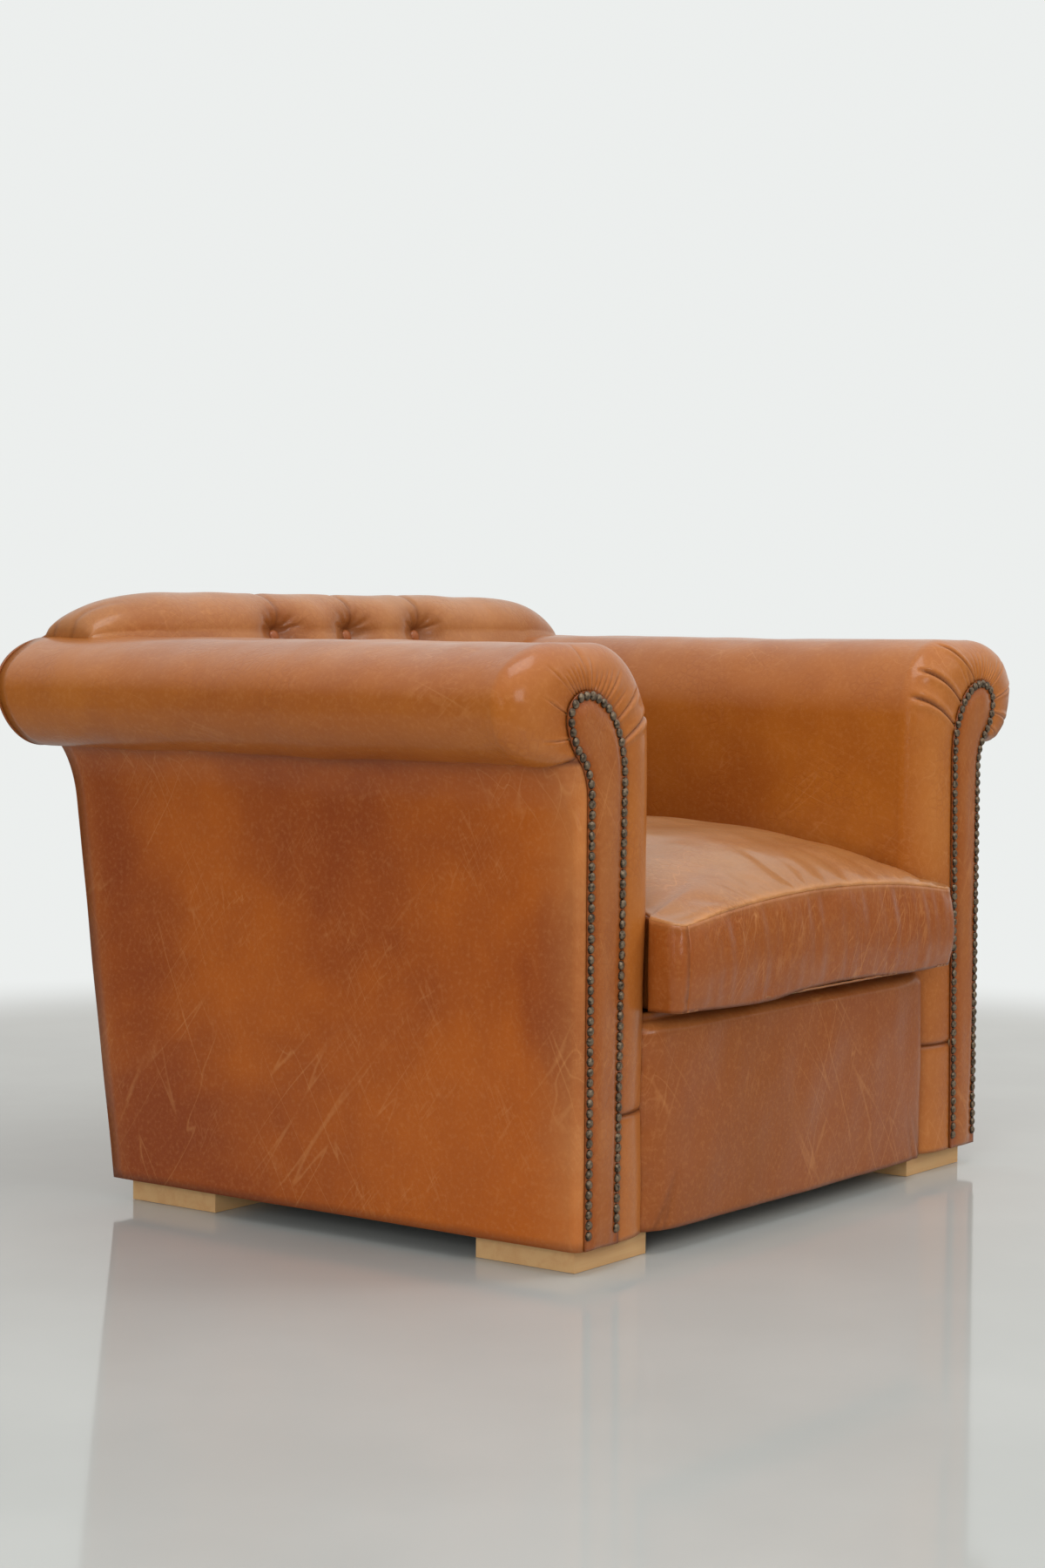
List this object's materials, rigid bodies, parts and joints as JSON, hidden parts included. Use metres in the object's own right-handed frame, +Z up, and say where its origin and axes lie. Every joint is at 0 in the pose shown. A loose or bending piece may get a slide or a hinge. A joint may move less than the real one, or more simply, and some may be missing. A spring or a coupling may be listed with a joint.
{
  "type": "upholstered club armchair",
  "caption": "Low-backed rolled-arm club armchair in tan leather, with nailed scroll arm fronts, a buttoned back, a loose box seat cushion and plain wooden block feet.",
  "frame": {"origin": "on the floor under the middle of the whole chair's bounding box", "axes": "+X to the chair's right as seen from its front, +Y from the front to the back, +Z up"},
  "size_m": [1.07, 0.7919, 0.704],
  "materials": {
    "pine_foot": "raw sawn, matt",
    "screw_steel": "bright zinc",
    "beech_frame": "raw, matt",
    "plywood": "raw, matt",
    "hardboard": "raw, matt",
    "webbing": "woven, matt",
    "foam": "open cell, matt",
    "black_cloth": "woven, matt",
    "tan_leather": "pull-up leather, satin with pale wear and darker mottling",
    "bronze_nail": "antique, dull satin",
    "zip_metal": "antique, satin"
  },
  "bodies": {
    "chair": {"foot_front_left": "pine_foot", "foot_front_right": "pine_foot", "foot_rear_left": "pine_foot", "foot_rear_right": "pine_foot", "foot_screws": "screw_steel", "foot_blocks": "beech_frame", "dust_cover": "black_cloth", "front_rail": "beech_frame", "rear_seat_rail": "beech_frame", "side_seat_rail_left": "beech_frame", "side_seat_rail_right": "beech_frame", "seat_webbing_long": "webbing", "seat_webbing_cross": "webbing", "deck_pad": "foam", "deck_cover": "tan_leather", "front_border_foam": "foam", "front_border_cover": "tan_leather", "arm_front_post_left": "beech_frame", "arm_front_post_right": "beech_frame", "arm_scroll_board_left": "plywood", "arm_scroll_board_right": "plywood", "arm_rear_board_left": "plywood", "arm_rear_board_right": "plywood", "arm_top_rail_left": "beech_frame", "arm_top_rail_right": "beech_frame", "arm_side_rail_left": "beech_frame", "arm_side_rail_right": "beech_frame", "arm_tack_rail_left": "beech_frame", "arm_tack_rail_right": "beech_frame", "arm_former_left": "hardboard", "arm_former_right": "hardboard", "arm_foam_left": "foam", "arm_foam_right": "foam", "outside_arm_board_left": "hardboard", "outside_arm_board_right": "hardboard", "inside_arm_cover_left": "tan_leather", "inside_arm_cover_right": "tan_leather", "arm_lower_strip_left": "tan_leather", "arm_lower_strip_right": "tan_leather", "outside_arm_cover_left": "tan_leather", "outside_arm_cover_right": "tan_leather", "arm_facing_left": "tan_leather", "arm_facing_right": "tan_leather", "facing_nails_left": "bronze_nail", "facing_nails_right": "bronze_nail", "back_posts": "beech_frame", "back_crest_rail": "beech_frame", "back_tack_rail": "beech_frame", "back_webbing": "webbing", "back_foam": "foam", "inside_back_cover": "tan_leather", "back_buttons": "tan_leather", "outside_back_board": "hardboard", "outside_back_cover": "tan_leather"},
    "seat_cushion": {"cushion_top_panel": "tan_leather", "cushion_bottom_panel": "tan_leather", "cushion_boxing": "tan_leather", "cushion_core": "foam", "cushion_zip": "black_cloth"},
    "slider": {"zip_slider": "zip_metal"}
  },
  "joints": [
    {"name": "cushion_lift", "type": "slide", "parent": "chair", "child": "seat_cushion", "axis": [0, 0, 1], "range_m": [0, 0.4]},
    {"name": "zip_slide", "type": "slide", "parent": "seat_cushion", "child": "slider", "axis": [1, 0, 0], "range_m": [-0.38, 0]}
  ]
}
